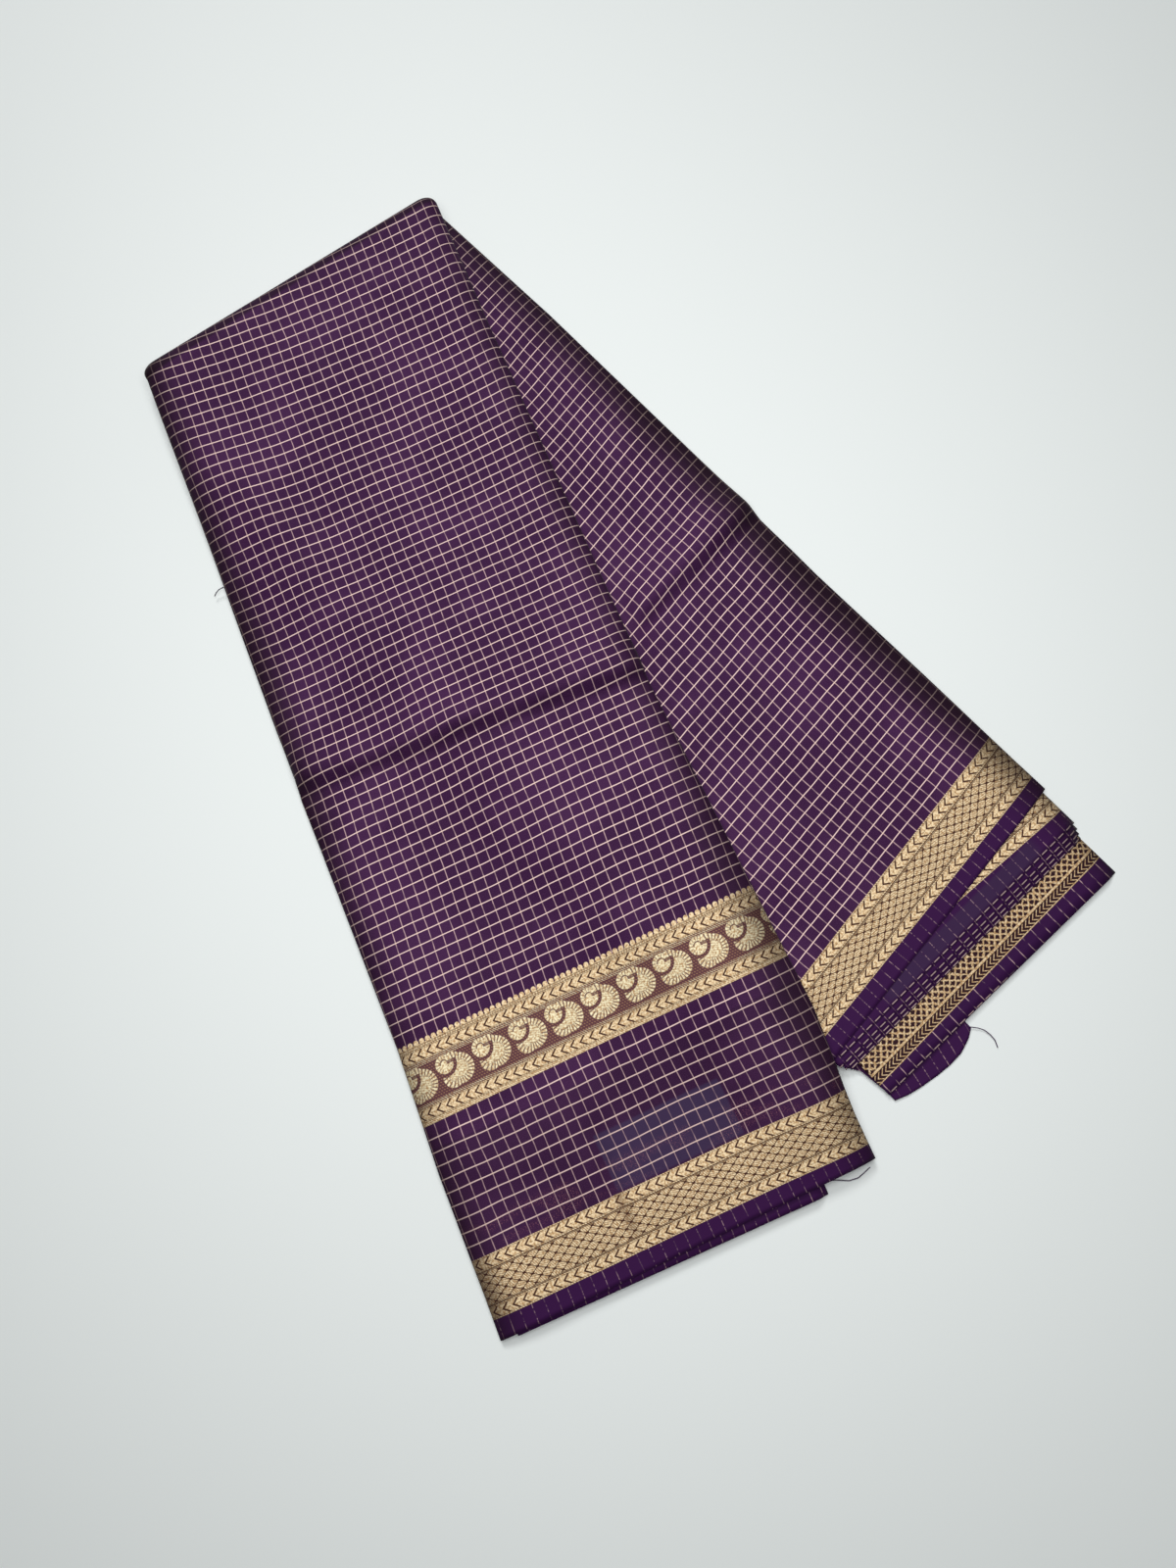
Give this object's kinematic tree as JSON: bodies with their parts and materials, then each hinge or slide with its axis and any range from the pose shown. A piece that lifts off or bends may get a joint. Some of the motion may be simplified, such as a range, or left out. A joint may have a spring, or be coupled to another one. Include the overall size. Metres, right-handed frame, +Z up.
{
  "type": "saree, folded and laid flat",
  "caption": "Purple checked saree with gold zari borders and a paisley band, folded lengthwise into a long band, then folded over slantwise so that both arms lie fanned out flat.",
  "frame": {"origin": "on the floor below the middle of the folded saree's plan", "axes": "+Z up, +Y towards the slanted fold, +X to the right of the picture"},
  "size_m": [0.5241, 0.6206, 0.0226],
  "materials": {
    "checked_ground": "soft",
    "hidden_layers": "soft",
    "selvedge": "soft",
    "zari_border": "satin"
  },
  "bodies": {
    "root": {"front_face": "checked_ground", "fold_face": "checked_ground", "front_underside": "checked_ground", "back_face": "checked_ground", "back_underside": "checked_ground", "front_layers": "hidden_layers", "back_layers": "hidden_layers", "fold_layers": "hidden_layers", "front_leaf_2": "selvedge", "front_leaf_3": "selvedge", "back_leaf_2": "selvedge", "back_leaf_3": "selvedge", "back_leaf_4": "selvedge", "back_leaf_reverse": "zari_border", "back_leaf_bottom": "selvedge"}
  },
  "joints": []
}
